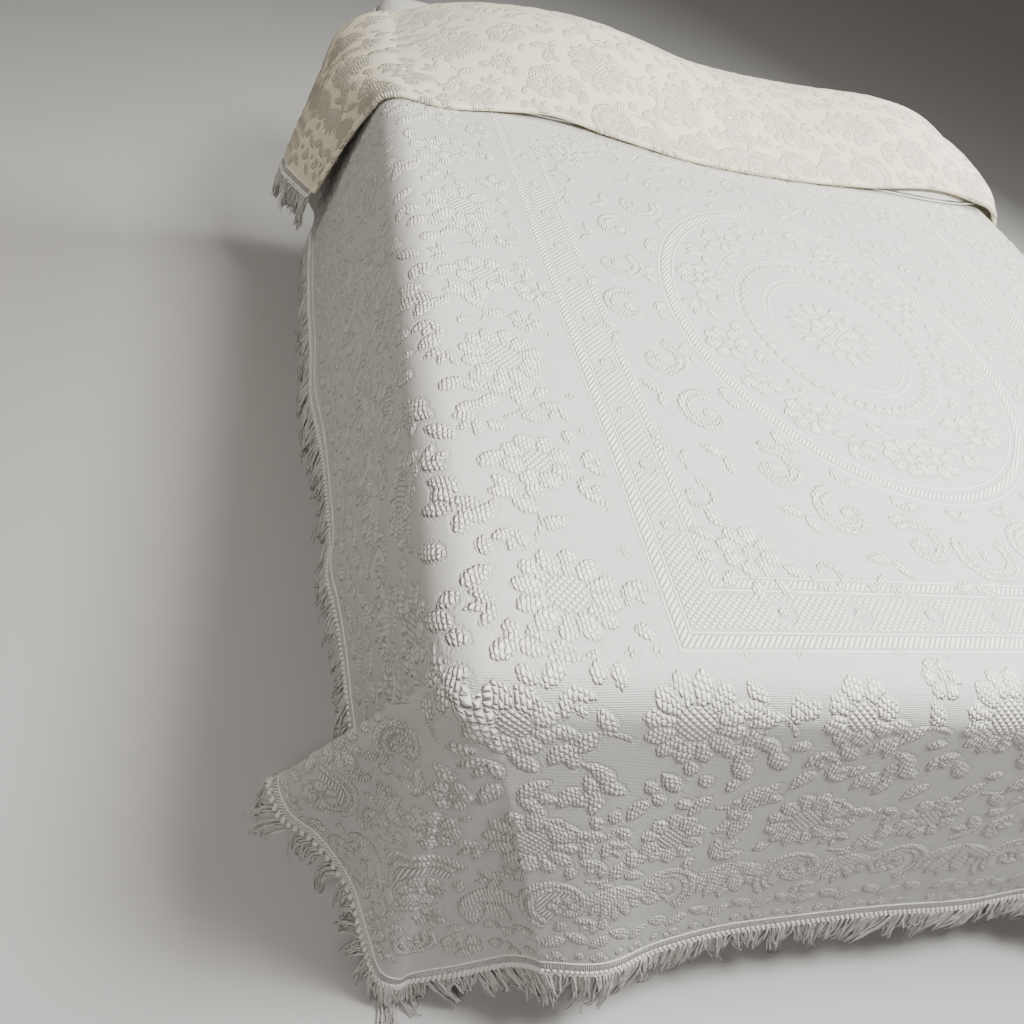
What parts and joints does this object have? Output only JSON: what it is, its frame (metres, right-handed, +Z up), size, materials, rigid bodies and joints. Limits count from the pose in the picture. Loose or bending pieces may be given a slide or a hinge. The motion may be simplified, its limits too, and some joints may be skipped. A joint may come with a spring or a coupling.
{
  "type": "matelasse bedspread on a bed",
  "caption": "White matelasse bedspread draped over a bed, its head end folded back over pillows, fringed along the sides and the foot.",
  "frame": {"origin": "on the floor, under the middle of the whole thing", "axes": "+Z up, +Y towards the head of the bed, +X towards the bed's right side seen from its foot"},
  "size_m": [1.9226, 2.2248, 0.8643],
  "materials": {
    "white_cotton_cloth": "matte woven cotton with raised figures",
    "cream_fringe_yarn": "matte twisted cotton yarn",
    "plain_ticking": "plain matte cotton",
    "plain_base_cover": "plain matte cloth",
    "painted_plinth": "satin dark stain"
  },
  "bodies": {
    "root": {"bedspread": "white_cotton_cloth", "fringe_foot": "cream_fringe_yarn", "fringe_left": "cream_fringe_yarn", "fringe_right": "cream_fringe_yarn", "fringe_over_left": "cream_fringe_yarn", "fringe_over_right": "cream_fringe_yarn", "mattress": "plain_ticking", "pillow_left": "plain_ticking", "pillow_right": "plain_ticking", "bed_base": "plain_base_cover", "plinth": "painted_plinth"}
  },
  "joints": []
}
